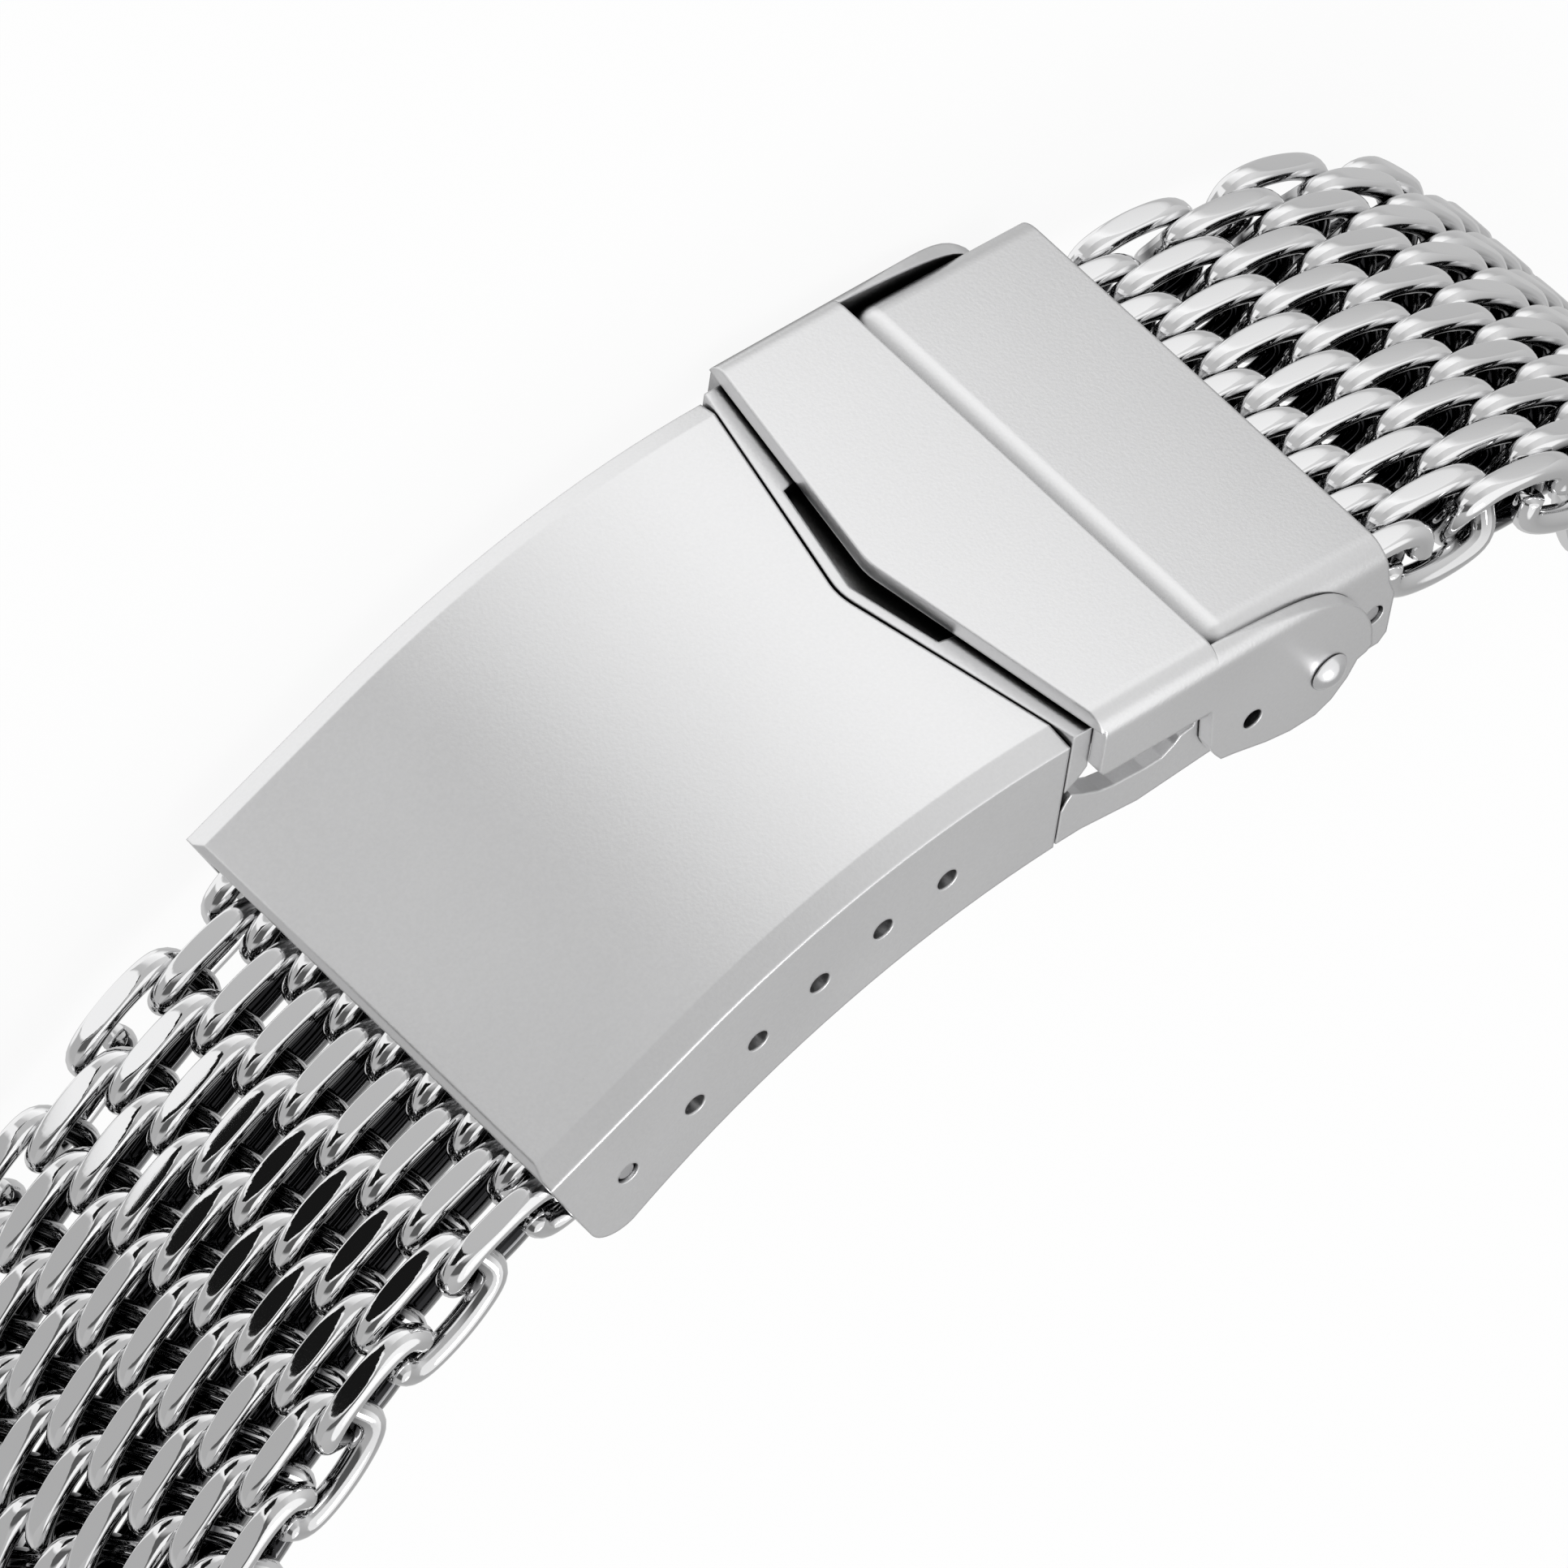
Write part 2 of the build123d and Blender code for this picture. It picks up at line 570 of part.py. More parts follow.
def row_places(bar, row_slopes, side):
    """Centre, slope and outer joint of each row of one half, starting at its spring bar.

    side is -1 for the half that leaves the cover's open end and 1 for the half that leaves the hood.
    """
    places = []
    joint = bar
    lead = TUBE_PLACE
    for slope in row_slopes:
        turn = radians(slope)
        step = (side * cos(turn), side * sin(turn))
        centre = (joint[0] + step[0] * lead, joint[1] + step[1] * lead)
        joint = (centre[0] + step[0] * ROW_PITCH / 2, centre[1] + step[1] * ROW_PITCH / 2)
        lead = ROW_PITCH / 2
        places.append((centre, slope, joint))
    last_centre, last_slope, _ = places[-1]
    turn = radians(last_slope)
    end_bar = (last_centre[0] + side * cos(turn) * TUBE_PLACE, last_centre[1] + side * sin(turn) * TUBE_PLACE)
    return places, end_bar


def row_plane(centre, slope):
    """Plane of a row: x towards the cover's open end, z out of the wrist."""
    turn = radians(slope)
    return Plane(origin=(centre[0], centre[1], 0), x_dir=(-cos(turn), -sin(turn), 0),
                 z_dir=(-sin(turn), cos(turn), 0))


def end_tube(place):
    """Tube that the last coil wraps and that takes the spring bar."""
    length = COIL_PITCH * (COIL_TURNS - 1 / 2) + WIRE
    tube = Cylinder(TUBE_DIAMETER / 2, length) - Cylinder(TUBE_BORE / 2, 2 * length)
    return Pos(place[0], place[1], 0) * tube


def bar_sleeve(place):
    """Spring bar's tube, closed at both ends but for the plungers' necks."""
    sleeve = Cylinder(BAR_DIAMETER / 2, BAR_LENGTH) - Cylinder(BAR_BORE / 2, BAR_LENGTH - 2 * BAR_LIP)
    return Pos(place[0], place[1], 0) * (sleeve - Cylinder(BAR_LIP_BORE / 2, 2 * BAR_LENGTH))


def tip_levels():
    """Heights of a tip's steps: plunger start, neck start, shoulder start, tip start and tip end."""
    end = TIP_SPAN / 2
    tip = end - TIP_LENGTH
    shoulder = tip - SHOULDER_LENGTH
    neck = BAR_LENGTH / 2 - BAR_LIP - PLUNGER_PLAY
    return (neck - PLUNGER_LENGTH, neck, shoulder, tip, end)


def bar_tip(place, side):
    """Sprung tip of a spring bar, on the far side (-1) or the near side (1)."""
    start, neck, shoulder, tip, end = tip_levels()
    points = [(0, start), (PLUNGER_DIAMETER / 2, start), (PLUNGER_DIAMETER / 2, neck), (NECK_DIAMETER / 2, neck),
              (NECK_DIAMETER / 2, shoulder), (SHOULDER_DIAMETER / 2, shoulder), (SHOULDER_DIAMETER / 2, tip),
              (TIP_DIAMETER / 2, tip), (TIP_DIAMETER / 2, end - TIP_BEVEL), (TIP_DIAMETER / 2 - TIP_BEVEL, end),
              (0, end)]
    solid = revolve(Rot(90, 0, 0) * outline(points), axis=Axis.Z)
    if side < 0:
        solid = Rot(180, 0, 0) * solid
    return Pos(place[0], place[1], 0) * solid


def bar_spring(place):
    """Closed sleeve that stands for the hidden spring between the plungers."""
    length = 2 * (tip_levels()[0] - PLUNGER_PLAY)
    spring = Cylinder(SPRING_DIAMETER / 2, length) - Cylinder(SPRING_BORE / 2, 2 * length)
    return Pos(place[0], place[1], 0) * spring


COVER_BAR = on_cover(HOLE_FIRST, HOLE_DEPTH_FIRST)
HOOD_BAR = on_hood(HOOD_BAR_PLACE, -HOOD_BAR_DEPTH)
COVER_ROWS, COVER_LUG_BAR = row_places(COVER_BAR, slopes(COVER_SIDE_SLOPES, COVER_SIDE_ROWS, COVER_SIDE_TURN), -1)
HOOD_ROWS, HOOD_LUG_BAR = row_places(HOOD_BAR, slopes(HOOD_SIDE_SLOPES, HOOD_SIDE_ROWS, -HOOD_SIDE_TURN), 1)
BARS = {"cover": COVER_BAR, "hood": HOOD_BAR, "cover_lug": COVER_LUG_BAR, "hood_lug": HOOD_LUG_BAR}


def build_nodes():
    """All pieces of the bracelet by name, in the side-view frame."""
    nodes = {
        "cover_shell": cover_shell(),
        "short_blade": short_blade(),
        "long_blade": long_blade(),
        "fold_pin_mid": fold_pin(on_cover(MID_PIVOT_ALONG, MID_PIVOT_DEPTH)),
        "fold_pin_end": fold_pin(END_PIVOT),
        "lock_housing": lock_housing(),
        "flip_lock": flip_lock(),
        "flip_lock_pins": flip_pins(),
    }
    for name, place in BARS.items():
        nodes[name + "_end_tube"] = end_tube(place)
        nodes[name + "_bar_sleeve"] = bar_sleeve(place)
        nodes[name + "_bar_spring"] = bar_spring(place)
        nodes[name + "_bar_tip_far"] = bar_tip(place, -1)
        nodes[name + "_bar_tip_near"] = bar_tip(place, 1)
    coils = {True: mesh_coil(True), False: mesh_coil(False)}
    for index, (centre, slope, _) in enumerate(COVER_ROWS):
        nodes[f"cover_side_row_{index + 1:02d}"] = row_plane(centre, slope) * coils[index % 2 == 0]
    for index, (centre, slope, _) in enumerate(HOOD_ROWS):
        nodes[f"hood_side_row_{index + 1:02d}"] = row_plane(centre, slope) * coils[index % 2 == 1]
    return nodes


def placement(nodes):
    """Half a turn about z, then the foot's middle to the origin."""
    turned = Compound(children=[Rot(0, 0, 180) * shape for shape in nodes.values()])
    box = turned.bounding_box()
    shift = Vector(-(box.min.X + box.max.X) / 2, -(box.min.Y + box.max.Y) / 2, -box.min.Z)
    return Pos(shift.X, shift.Y, shift.Z) * Rot(0, 0, 180)


def main():
    """Build, place and write every piece."""
    os.makedirs("parts", exist_ok=True)
    nodes = build_nodes()
    place = placement(nodes)
    for name, shape in nodes.items():
        export_step(place * shape, f"parts/{name}.step")
    print(len(nodes), "nodes, moved by", place.position)


if __name__ == "__main__":
    main()
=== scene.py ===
import json
import math

import bpy
import numpy as np
from mathutils import Matrix, Vector

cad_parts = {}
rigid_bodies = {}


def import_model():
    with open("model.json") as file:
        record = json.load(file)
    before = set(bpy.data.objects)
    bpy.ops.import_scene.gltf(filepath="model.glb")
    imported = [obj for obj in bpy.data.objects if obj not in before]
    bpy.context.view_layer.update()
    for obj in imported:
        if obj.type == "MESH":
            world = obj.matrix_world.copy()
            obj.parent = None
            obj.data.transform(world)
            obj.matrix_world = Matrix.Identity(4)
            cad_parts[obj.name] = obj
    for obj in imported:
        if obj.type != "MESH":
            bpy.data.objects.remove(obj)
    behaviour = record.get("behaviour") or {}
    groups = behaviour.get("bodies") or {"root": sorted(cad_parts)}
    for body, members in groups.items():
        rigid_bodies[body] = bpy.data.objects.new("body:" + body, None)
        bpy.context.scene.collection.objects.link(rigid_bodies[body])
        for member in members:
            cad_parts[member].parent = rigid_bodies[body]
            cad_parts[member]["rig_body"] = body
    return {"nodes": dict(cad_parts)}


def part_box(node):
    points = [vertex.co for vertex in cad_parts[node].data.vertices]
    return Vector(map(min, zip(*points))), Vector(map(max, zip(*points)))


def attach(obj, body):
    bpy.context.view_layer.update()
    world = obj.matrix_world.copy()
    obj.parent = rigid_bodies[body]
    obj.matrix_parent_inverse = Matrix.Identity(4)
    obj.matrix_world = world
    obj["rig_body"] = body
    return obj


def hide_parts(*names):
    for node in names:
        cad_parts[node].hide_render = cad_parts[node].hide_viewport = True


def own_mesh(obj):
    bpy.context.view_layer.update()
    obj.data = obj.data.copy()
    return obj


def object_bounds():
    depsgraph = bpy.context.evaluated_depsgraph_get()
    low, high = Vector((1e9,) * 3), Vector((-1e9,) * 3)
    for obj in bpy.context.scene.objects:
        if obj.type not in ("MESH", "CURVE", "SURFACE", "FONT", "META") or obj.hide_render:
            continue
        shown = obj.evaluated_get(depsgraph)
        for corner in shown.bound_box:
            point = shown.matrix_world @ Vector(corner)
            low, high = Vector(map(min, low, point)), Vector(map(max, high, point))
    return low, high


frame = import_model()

bl_info = {
    "name": "Mesh bracelet dresser",
    "version": (1, 0, 0),
    "blender": (4, 5, 0),
    "location": "View3D > Sidebar > Bracelet",
    "description": "Finishes, springs and studio for a wire-mesh watch bracelet with a folding clasp",
    "category": "Object",
}

MM = 0.001
CAD_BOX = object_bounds()
BAR_NAMES = ("cover", "hood", "cover_lug", "hood_lug")
BAR_BODIES = {"cover": "cover", "hood": "lock", "cover_lug": "cover_lug_bar", "hood_lug": "hood_lug_bar"}
CLASP_NODES = ("cover_shell", "lock_housing", "flip_lock")
BLADE_NODES = ("short_blade", "long_blade")
PIN_NODES = ("fold_pin_mid", "fold_pin_end", "flip_lock_pins")

# Sizes of one row of mesh, as its CAD solid has them
ROW_WIRE = 1.15 * MM
ROW_PITCH = 2.5 * MM
ROW_TURNS = 8
ROW_LENGTH = 6.6 * MM
ROW_FACE = 2.04 * MM
# Points of each turn from which the wire's path is made, and the sidestep's weight along it: the share of
# the reach at its middle, the width of its rise and the least weight
PATH_STEPS = 400
STEP_MIDDLE_SHARE = 0.92
STEP_WIDTH_SHARE = 0.06
STEP_LEAST_SHARE = 0.04
# Power with which the lean fades towards the strap's edges
LEAN_FADE = 3
# Places round half of the wire's section, closer together beside the edge of the ground face
SECTION_DEGREES = (0, 16, 30, 40, 46, 51, 57, 66, 80, 100, 125, 152)
# Painted shade between the wires: cosine of the place round the wire where it starts and the span to full,
# depth of a row's shaded middle, its strength there, and distance from the strap's middle line at which the
# unshaded edge begins
PAINTED_SHADE_START = 0.35
PAINTED_SHADE_SPAN = 0.6
PAINTED_SHADE_DEPTH = 0.8 * MM
PAINTED_SHADE_STRENGTH = 1.1
PAINTED_SHADE_EDGE = 8.4 * MM
# Steps of each turn and sides of the wire in a wound spring
SPRING_STEPS = 18
SPRING_SIDES = 8

# Direction along the hood from the cover, and where its tops begin to fall away, in metres along it
HOOD_DIRECTION = (-0.8616, 0.5075, 0.0)
HOOD_START = -2.3 * MM
# Open shares of the hemisphere between which the clasp's painted shade fades out, and samples of that and of soft
# edges
CREVICE_SHARES = (0.2, 0.62)
CREVICE_SAMPLES = 16
EDGE_SAMPLES = 6
# Spans of roughness that the satin finish's clouds and grain add
SATIN_SPANS = (0.06, 0.05)
# Polishing hairs of the mesh: stretch along X, Y and Z, scale in haze scales and span of roughness
WIRE_HAIRS = (1.0, 1.0, 6.0)
WIRE_HAIR_SCALE = 4
WIRE_SPAN = 0.05
# Lined steels: stretch of the lines along X, Y and Z, their scale in brush scales, octaves, the darkest
# share of the colour, least roughness and its span, and the lines' depth in hairline depths
LINED_STEELS = {
    "blade_steel": {"stretch": (1.0, 1.0, 24.0), "scale": 1, "detail": 3.0, "dark": 0.88,
                    "roughness": (0.26, 0.16), "depth": 4},
    "pin_polish": {"stretch": (0.2, 0.2, 12.0), "scale": 1, "detail": 2.0, "dark": 0.92,
                   "roughness": (0.14, 0.12), "depth": 2},
    "bar_steel": {"stretch": (0.3, 0.3, 16.0), "scale": 2, "detail": 2.0, "dark": 0.85,
                  "roughness": (0.24, 0.14), "depth": 2},
}
# Darkest share of the spring wire's colour, its least roughness and its span
SPRING_DARK_SHARE = 0.8
SPRING_ROUGHNESS = (0.3, 0.1)

# Greys of the light tent's low and high rings, each at a share of a full turn from +X towards +Y, and of the
# directions straight down and up
LOW_RING = ((0.0, 0.45), (0.08, 0.6), (0.40, 0.55), (0.475, 0.5), (0.50, 0.55), (0.53, 0.78), (0.57, 1.0),
            (0.60, 1.05), (0.69, 0.8), (0.72, 0.56), (0.772, 0.5), (0.782, 0.95), (0.84, 0.95), (0.86, 0.45))
HIGH_RING = ((0.0, 0.5), (0.2, 0.45), (0.3, 0.45), (0.45, 0.6), (0.56, 0.75), (0.64, 0.7), (0.70, 0.52),
             (0.80, 0.5), (0.84, 0.1), (0.92, 0.1), (0.94, 0.5))
NADIR_GREY = 0.95
ZENITH_GREY = 1.0
# Heights in degrees between which one ring of the tent gives way to the next
LOW_EDGE = (-62.0, -56.0)
MIDDLE_EDGE = (-2.0, 2.0)
HIGH_EDGE = (44.0, 50.0)
# Corners in millimetres of a dark card on the floor before the mesh next to the cover, seen only in metal
DARK_CARD = ((18.5, -48.0), (24.0, -100.0), (62.0, -100.0), (60.0, -80.0), (48.0, -63.0), (34.2, -43.0))
# Mark on the cover, in from its open end and its outer side, and the camera's aim beside it, right and down
AIM_MARK = (20 * MM, 3 * MM)
AIM_OFFSET = (1.283 * MM, 4.498 * MM)
CLIP_DISTANCES = (10 * MM, 10.0)
LAMP_SIZE = 300 * MM
LAMP_PLACE = (100 * MM, 100 * MM, 700 * MM)
LAMP_TILT = (math.radians(-8), math.radians(8), 0)
FLOOR_GREY = 0.9
CARD_GREY = 0.01


class Signal:
    """A number that flows from one socket, with Python's operators as Math nodes."""

    def __init__(self, finish, socket):
        self.finish = finish
        self.socket = socket

    def combine(self, operation, first, second=None):
        """One Math node on this signal and another value."""
        inputs = {0: first}
        if second is not None:
            inputs[1] = second
        return self.finish.node("ShaderNodeMath", {"operation": operation}, inputs)

    def __add__(self, other):
        return self.combine("ADD", self, other)

    def __radd__(self, other):
        return self.combine("ADD", other, self)

    def __sub__(self, other):
        return self.combine("SUBTRACT", self, other)

    def __rsub__(self, other):
        return self.combine("SUBTRACT", other, self)

    def __mul__(self, other):
        return self.combine("MULTIPLY", self, other)

    def __rmul__(self, other):
        return self.combine("MULTIPLY", other, self)


class Finish:
    """The node tree of one material, or of the world, while it is put together."""

    def __init__(self, owner):
        owner.use_nodes = True
        self.owner = owner
        self.tree = owner.node_tree
        self.tree.nodes.clear()

    def node(self, kind, settings=None, inputs=None, output=0):
        """A node of one type with its settings and the values or links of its sockets."""
        made = self.tree.nodes.new(kind)
        for name, value in (settings or {}).items():
            if name == "stops":
                self.set_stops(made.color_ramp, value)
            else:
                setattr(made, name, value)
        for key, value in (inputs or {}).items():
            if isinstance(value, Signal):
                self.tree.links.new(value.socket, made.inputs[key])
            else:
                made.inputs[key].default_value = value
        return Signal(self, made.outputs[output] if made.outputs else None)

    def set_stops(self, ramp, stops):
        """Fill a ramp with (place, grey) stops."""
        while len(ramp.elements) < len(stops):
            ramp.elements.new(1.0)
        for element, (place, grey) in zip(ramp.elements, stops):
            element.position = place
            element.color = (grey, grey, grey, 1.0)

    def place(self):
        """Object coordinates."""
        return self.node("ShaderNodeTexCoord", output="Object")

    def stretched(self, scale):
        """Object coordinates scaled along each axis."""
        inputs = {"Vector": self.place(), "Scale": scale}
        return self.node("ShaderNodeMapping", {"vector_type": "POINT"}, inputs)

    def noise(self, vector, scale, detail=2.0):
        """Even grey noise at a scale in features for each metre."""
        return self.node("ShaderNodeTexNoise", {}, {"Vector": vector, "Scale": scale, "Detail": detail})

    def tint(self, factor, first, second):
        """Colour between two colours, or signals of colours, by a factor."""
        colours = [value if isinstance(value, Signal) else (*value, 1.0) for value in (first, second)]
        inputs = {"Factor": factor, 6: colours[0], 7: colours[1]}
        return self.node("ShaderNodeMix", {"data_type": "RGBA"}, inputs, output=2)

    def soft_edges(self, radius):
        """Normal that rounds the edges by a radius in metres."""
        return self.node("ShaderNodeBevel", {"samples": EDGE_SAMPLES}, {"Radius": radius})

    def bump(self, height, distance, normal=None):
        """Normal raised by a height signal, by up to a distance in metres."""
        inputs = {"Height": height, "Distance": distance}
        if normal is not None:
            inputs["Normal"] = normal
        return self.node("ShaderNodeBump", {}, inputs)

    def metal(self, colour, roughness, normal=None):
        """Metal surface with a colour, a roughness and a normal."""
        inputs = {"Base Color": colour, "Roughness": roughness, "Metallic": 1.0}
        if normal is not None:
            inputs["Normal"] = normal
        surface = self.node("ShaderNodeBsdfPrincipled", {}, inputs)
        self.node("ShaderNodeOutputMaterial", {}, {"Surface": surface})
        return self.owner


def new_finish(name):
    """Empty finish on a new material."""
    return Finish(bpy.data.materials.new(name))


def scaled(colour, factor):
    """A colour made darker or lighter."""
    return tuple(min(1.0, channel * factor) for channel in colour)


def rise(finish, value, low, high):
    """0 below low, 1 above high and a smooth step between them."""
    inputs = {"Value": value, "From Min": low, "From Max": high, "To Min": 0.0, "To Max": 1.0}
    return finish.node("ShaderNodeMapRange", {"interpolation_type": "SMOOTHSTEP"}, inputs)


def blended(first, second, share):
    """Number between two by a share."""
    return first + (second - first) * share


def satin_steel(settings):
    """Fine satin steel: a speckled grain without direction, faint cloudiness and softened edges.

    Narrow gaps get painted shade: the colour darkens where little of the hemisphere is open. Along the hood the
    surface turns away a little, as a crowned top does: its height falls with the square of the distance past
    the hood's start.
    """
    finish = new_finish("clasp_satin")
    grain = finish.noise(finish.place(), settings.grain_scale, detail=3.0)
    cloud = finish.noise(finish.place(), settings.cloud_scale, detail=1.0)
    dark, light = (scaled(settings.satin_colour, factor) for factor in settings.satin_range)
    unshaded = finish.tint(blended(cloud, grain, settings.grain_share), dark, light)
    # Painted shade: ambient occlusion darkens the colour towards the gap shade colour in narrow gaps
    open_share = finish.node("ShaderNodeAmbientOcclusion", {"samples": CREVICE_SAMPLES},
                             {"Distance": settings.crevice_reach}, output="AO")
    colour = finish.tint(rise(finish, open_share, *CREVICE_SHARES), settings.gap_shade_colour, unshaded)
    roughness = settings.satin_roughness + (cloud - 0.5) * SATIN_SPANS[0] + (grain - 0.5) * SATIN_SPANS[1]
    along = finish.node("ShaderNodeVectorMath", {"operation": "DOT_PRODUCT"},
                        {0: finish.place(), 1: HOOD_DIRECTION}, output="Value")
    past = along.combine("MAXIMUM", along - HOOD_START, 0.0)
    crown = finish.bump(past * past * -settings.hood_crown, 1.0, finish.soft_edges(settings.edge_radius))
    normal = finish.bump(grain, settings.grain_depth, crown)
    return finish.metal(colour, roughness, normal)


def polished_wire(settings):
    """Mirror-polished wire with a slight haze, and painted shade that darkens its colour deep between the wires.
    """
    finish = new_finish("mesh_polish")
    haze = finish.noise(finish.place(), settings.haze_scale)
    hair = finish.noise(finish.stretched(WIRE_HAIRS), settings.haze_scale * WIRE_HAIR_SCALE)
    # Painted shade: an attribute darkens the wire's colour on the coil's inner side and deep between the wires
    grime = finish.node("ShaderNodeAttribute", {"attribute_name": "grime"}, output="Fac")
    colour = finish.tint(grime, settings.wire_colour, settings.wire_shade_colour)
    roughness = settings.wire_roughness + haze * hair * WIRE_SPAN
    return finish.metal(colour, roughness, finish.bump(hair, settings.hair_depth))


def lined_steel(settings, name, colour, edge):
    """Steel with fine lines: blades brushed along the strap, turned pins and tubes, or drawn bars."""
    look = LINED_STEELS[name]
    finish = new_finish(name)
    scale = settings.brush_scale * look["scale"]
    lines = finish.noise(finish.stretched(look["stretch"]), scale, look["detail"])
    shade = finish.tint(lines, scaled(colour, look["dark"]), colour)
    least, span = look["roughness"]
    normal = finish.bump(lines, settings.hair_depth * look["depth"], finish.soft_edges(edge))
    return finish.metal(shade, least + lines * span, normal)


def spring_wire(settings):
    """Bare spring wire with a faint straw tone."""
    finish = new_finish("spring_steel")
    mottle = finish.noise(finish.place(), settings.grain_scale)
    colour = finish.tint(mottle, scaled(settings.spring_colour, SPRING_DARK_SHARE), settings.spring_colour)
    least, span = SPRING_ROUGHNESS
    return finish.metal(colour, least + mottle * span)


def dress(nodes, material):
    """Give CAD nodes one material."""
    for name in nodes:
        piece = frame["nodes"][name]
        piece.data.materials.clear()
        piece.data.materials.append(material)


def helix_surface(axis_place, low, high, radius, wire_radius, turns, steps, sides):
    """Closed round wire wound on an upright helix.

    Along the wire the centre is the axis place plus radius times (cos a, sin a), rising evenly from low to
    high as a runs through the turns. Round the wire each point adds wire radius times cos b outwards and
    wire radius times sin b along the cross of the wire's direction with outwards.
    """
    rows = turns * steps + 1
    angle = np.linspace(0.0, 2 * np.pi * turns, rows)
    height = np.linspace(low + wire_radius, high - wire_radius, rows)
    out = np.stack([np.cos(angle), np.sin(angle), np.zeros(rows)], 1)
    centre = np.stack([axis_place[0] + radius * out[:, 0], axis_place[1] + radius * out[:, 1], height], 1)
    climb = (high - low) / (2 * np.pi * turns)
    along = np.stack([-radius * np.sin(angle), radius * np.cos(angle), np.full(rows, climb)], 1)
    along /= np.linalg.norm(along, axis=1, keepdims=True)
    side = np.cross(along, out)
    turn = np.linspace(0.0, 2 * np.pi, sides, endpoint=False)
    ring = out[:, None, :] * np.cos(turn)[None, :, None] + side[:, None, :] * np.sin(turn)[None, :, None]
    points = (centre[:, None, :] + wire_radius * ring).reshape(-1, 3)
    first = np.arange(rows - 1)[:, None] * sides
    column = np.arange(sides)[None, :]
    following = (column + 1) % sides
    faces = np.stack([first + column, first + sides + column, first + sides + following, first + following], -1)
    caps = [list(range(sides)), list(range((rows - 1) * sides, rows * sides))[::-1]]
    return points, faces.reshape(-1, 4).tolist() + caps


def node_points(name):
    """Vertices of a CAD node as an array."""
    mesh = frame["nodes"][name].data
    points = np.empty(len(mesh.vertices) * 3)
    mesh.vertices.foreach_get("co", points)
    return points.reshape(-1, 3)


def row_frame(name):
    """Middle and axes of one row of mesh: along the strap, upwards and outwards, and 1 or -1 for its winding.

    The largest triangle of the CAD row lies on a ground flat and gives the outward direction. The middle
    lies halfway between the row's ends along each axis. The winding is 1 where the wire begins on the outer
    side.
    """
    mesh = frame["nodes"][name].data
    areas = np.empty(len(mesh.polygons))
    mesh.polygons.foreach_get("area", areas)
    normals = np.empty(len(mesh.polygons) * 3)
    mesh.polygons.foreach_get("normal", normals)
    outward = normals.reshape(-1, 3)[np.argmax(areas)]
    points = node_points(name)
    loop_middle = np.array(CAD_BOX[0] + CAD_BOX[1]) / 2
    if np.dot(points.mean(0) - loop_middle, outward) < 0:
        outward = -outward
    axes = np.array([np.cross((0.0, 0.0, 1.0), outward), (0.0, 0.0, 1.0), outward])
    local = points @ axes.T
    middle = (local.min(0) + local.max(0)) / 2
    first_run = local[local[:, 1] < local[:, 1].min() + ROW_WIRE / 2, 2]
    winding = 1 if first_run.mean() > middle[2] else -1
    return middle @ axes, axes, winding


def wire_path(settings, winding):
    """Middle line of one row's wire in the row's own axes, as evenly spaced points.

    With an angle a that falls from half a turn, the wire runs at minus a reach times cos a and at a height
    times the signed square root of sin a, which is an oval with arched runs and round bends. It steps sideways
    by half a pitch in each bend: the step follows the length of wire times a weight that rises smoothly from
    near 0 to 1 where the wire nears the ends of its reach. Its two ends stay level with the outer runs. A
    winding of -1 turns this half round about the upward axis. At last the wire leans: each point moves upwards
    by the lean times its share of the depth below the outer runs, less and less towards the strap's edges.
    """
    reach = (ROW_LENGTH - ROW_WIRE) / 2
    height = ROW_FACE + settings.ground - ROW_WIRE / 2
    angle = np.linspace(np.pi, np.pi - 2 * np.pi * ROW_TURNS, ROW_TURNS * PATH_STEPS + 1)
    along = -reach * np.cos(angle)
    out = height * np.sign(np.sin(angle)) * np.sqrt(np.abs(np.sin(angle)))
    nearness = (np.abs(along) / reach - STEP_MIDDLE_SHARE) / STEP_WIDTH_SHARE
    weight = 1 / (1 + np.exp(-nearness)) + STEP_LEAST_SHARE
    step = np.hypot(np.diff(along), np.diff(out)) * (weight[1:] + weight[:-1]) / 2
    side = np.concatenate([[0.0], np.cumsum(step)])
    last = ROW_PITCH * (ROW_TURNS - 0.5) / 2
    side = np.clip((side / side[-1] - 0.5) * ROW_PITCH * ROW_TURNS, -last, last)
    path = np.stack([winding * along, side, winding * out], 1)
    path[:, 1] += settings.lean * (1 - path[:, 2] / height) / 2 * (1 - np.abs(side / last) ** LEAN_FADE)
    length = np.concatenate([[0.0], np.cumsum(np.linalg.norm(np.diff(path, axis=0), axis=1))])
    even = np.linspace(0.0, length[-1], ROW_TURNS * settings.rings + 1)
    return np.stack([np.interp(even, length, path[:, axis]) for axis in range(3)], 1)


def smaller(first, second, blend):
    """The smaller of two values, with a round corner of a width where they meet."""
    near = np.maximum(blend - np.abs(first - second), 0.0)
    return np.minimum(first, second) - near ** 2 / (4 * blend)


